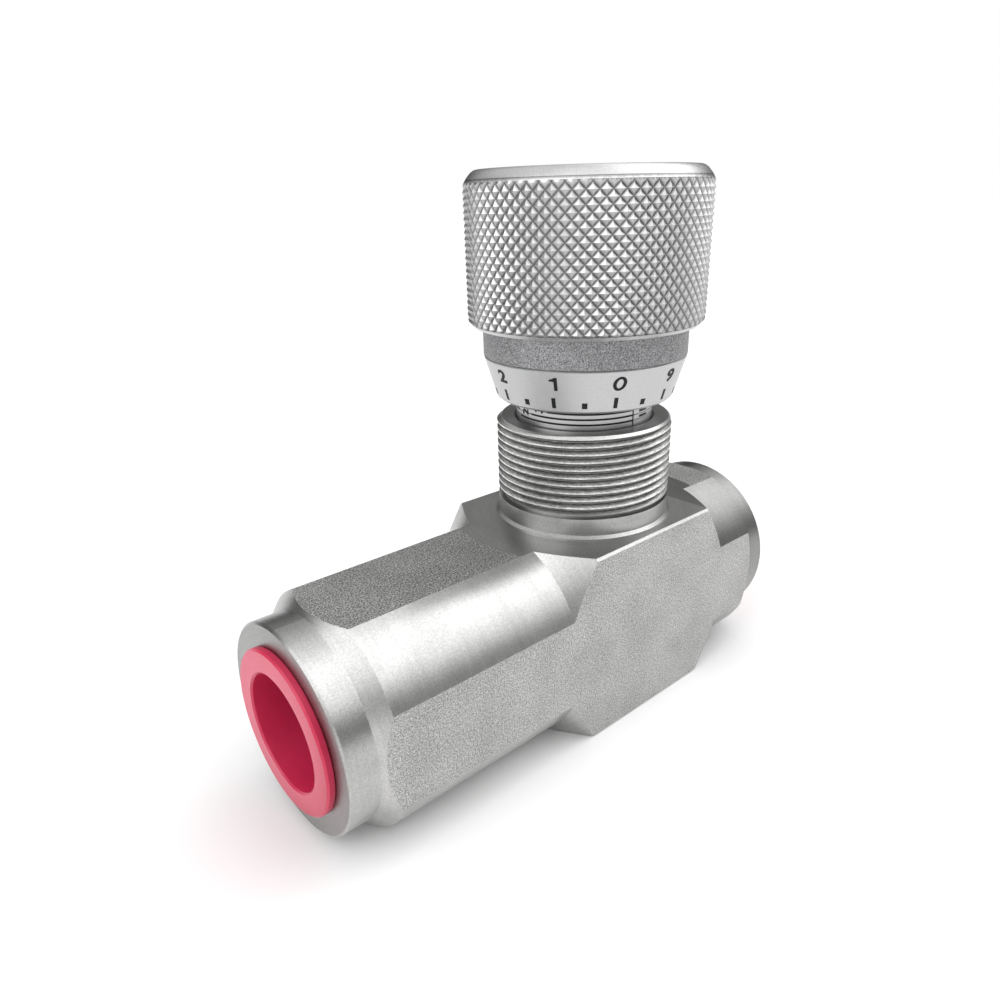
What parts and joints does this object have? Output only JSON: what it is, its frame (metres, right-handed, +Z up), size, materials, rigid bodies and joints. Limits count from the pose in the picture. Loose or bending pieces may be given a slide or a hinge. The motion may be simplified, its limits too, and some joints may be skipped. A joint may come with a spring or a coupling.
{
  "type": "flow control valve",
  "caption": "In-line throttle and check valve: square bar body with turned ported ends, a threaded panel neck, a digit dial and a knurled setting knob, ports capped.",
  "frame": {"origin": "on the body's bottom flat, right under the knob's axis", "axes": "+Z up along the knob's axis, +X along the ports towards the rear, short end, +Y to the left when looking along +X"},
  "size_m": [0.1163, 0.045, 0.1048],
  "materials": {
    "body_steel": "satin, turned and blasted",
    "hard_steel": "ground",
    "spring_steel": "drawn",
    "knob_aluminium": "satin",
    "grey_band": "matte anodised",
    "black_screw": "blackened",
    "black_ink": "filled-in engraving of the marks",
    "seal_rubber": "matte",
    "white_plastic": "matte",
    "red_plastic": "satin, slightly translucent"
  },
  "bodies": {
    "housing": {"valve_body": "body_steel", "throttle_seat": "hard_steel", "check_seat": "hard_steel", "spring_retainer": "hard_steel", "retainer_ring": "spring_steel", "check_spring": "spring_steel", "bonnet": "body_steel", "bonnet_o_ring": "seal_rubber", "bonnet_backup_ring": "white_plastic", "stem_wiper": "seal_rubber"},
    "spindle_seals": {"spindle_o_ring": "seal_rubber", "spindle_backup_ring": "white_plastic"},
    "knob": {"spindle": "hard_steel", "knob_grip": "knob_aluminium", "band_ring": "grey_band", "dial_ring": "knob_aluminium", "knob_screw": "black_screw", "knob_grub_screws": "black_screw", "lock_screw": "black_screw", "lock_pad": "white_plastic"},
    "check_valve_poppet": {"check_poppet": "hard_steel"},
    "front_plug": {"front_port_plug": "red_plastic"},
    "rear_plug": {"rear_port_plug": "red_plastic"}
  },
  "joints": [
    {"name": "spindle_lift", "type": "slide", "parent": "housing", "child": "spindle_seals", "axis": [0, 0, 1], "range_m": [-0.00392, 0.00408]},
    {"name": "knob_turn", "type": "hinge", "parent": "spindle_seals", "child": "knob", "pos_m": [0, 0, 0.09], "axis": [0, 0, 1], "range_deg": [-1411.2, 1468.8]},
    {"name": "check_opening", "type": "slide", "parent": "housing", "child": "check_valve_poppet", "axis": [-1, 0, 0], "range_m": [0, 0.004], "stiffness_N_per_m": 1500, "springref_m": -0.004, "deforming": ["check_spring"]},
    {"name": "front_plug_pull", "type": "slide", "parent": "housing", "child": "front_plug", "axis": [-1, 0, 0], "range_m": [0, 0.06]},
    {"name": "rear_plug_pull", "type": "slide", "parent": "housing", "child": "rear_plug", "axis": [1, 0, 0], "range_m": [0, 0.06]}
  ],
  "couplings": [
    {"joint": "spindle_lift", "follows": "knob_turn", "m_per_rad": 0.00015915}
  ]
}
